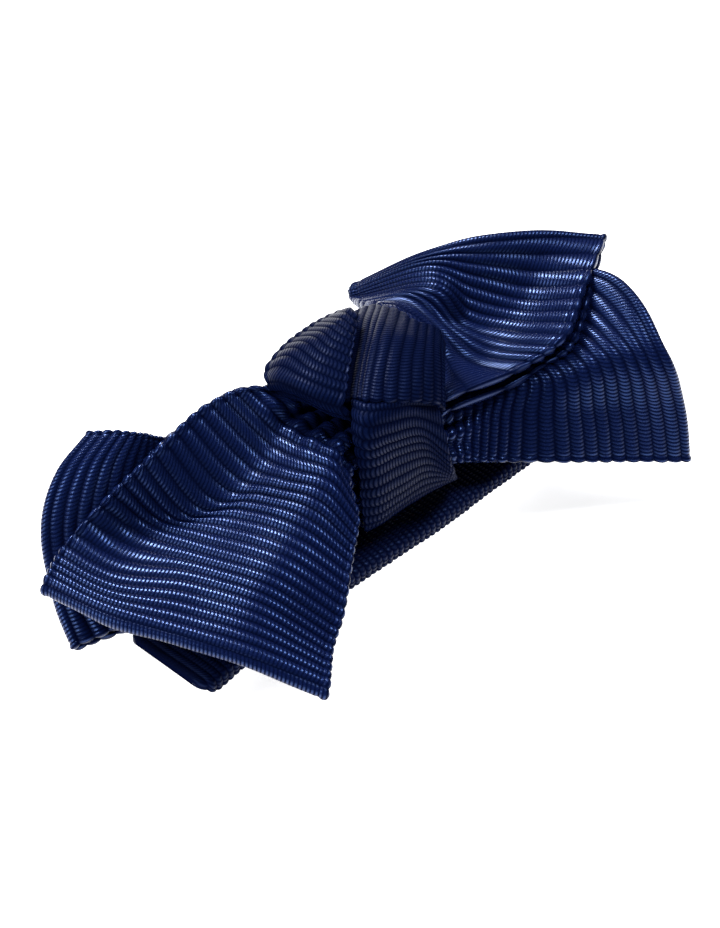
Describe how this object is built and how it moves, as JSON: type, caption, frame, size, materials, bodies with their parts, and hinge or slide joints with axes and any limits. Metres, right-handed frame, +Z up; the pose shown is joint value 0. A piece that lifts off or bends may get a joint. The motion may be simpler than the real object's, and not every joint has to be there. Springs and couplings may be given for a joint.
{
  "type": "hair bow",
  "caption": "Two-layer grosgrain ribbon hair bow with a wrapped knot, glued along a lined spring clip with toothed jaws and a thumb tab.",
  "frame": {"origin": "middle of the bottom arm's flat underside, under the knot", "axes": "+X along the clip from the thumb tab to the jaw's tip, +Z up from the clip to the knot's face, +Y across the clip towards the lifted edge of the bow"},
  "size_m": [0.0541, 0.0307, 0.0191],
  "materials": {
    "grosgrain": "ribbed, with a soft sheen",
    "lining": "fine ribbed ribbon",
    "thread": "matte",
    "set_glue": "cloudy, half matte",
    "clip_steel": "plated, satin",
    "spring_steel": "plain, satin"
  },
  "bodies": {
    "bow": {"front_ribbon": "grosgrain", "back_ribbon": "grosgrain", "knot_strip": "grosgrain", "knot_cross_fold": "grosgrain", "gather_thread": "thread", "glue_pad": "set_glue", "top_lining": "lining", "clip_top_arm": "clip_steel", "clip_spring": "spring_steel"},
    "jaw": {"clip_bottom_arm": "clip_steel"}
  },
  "joints": [
    {"name": "jaw_hinge", "type": "hinge", "parent": "bow", "child": "jaw", "pos_m": [-0.012, 0, -0.0002], "axis": [0, 1, 0], "range_deg": [0, 8], "stiffness_Nm_per_rad": 0.05, "springref_deg": -14.32, "deforming": ["clip_spring"]}
  ]
}
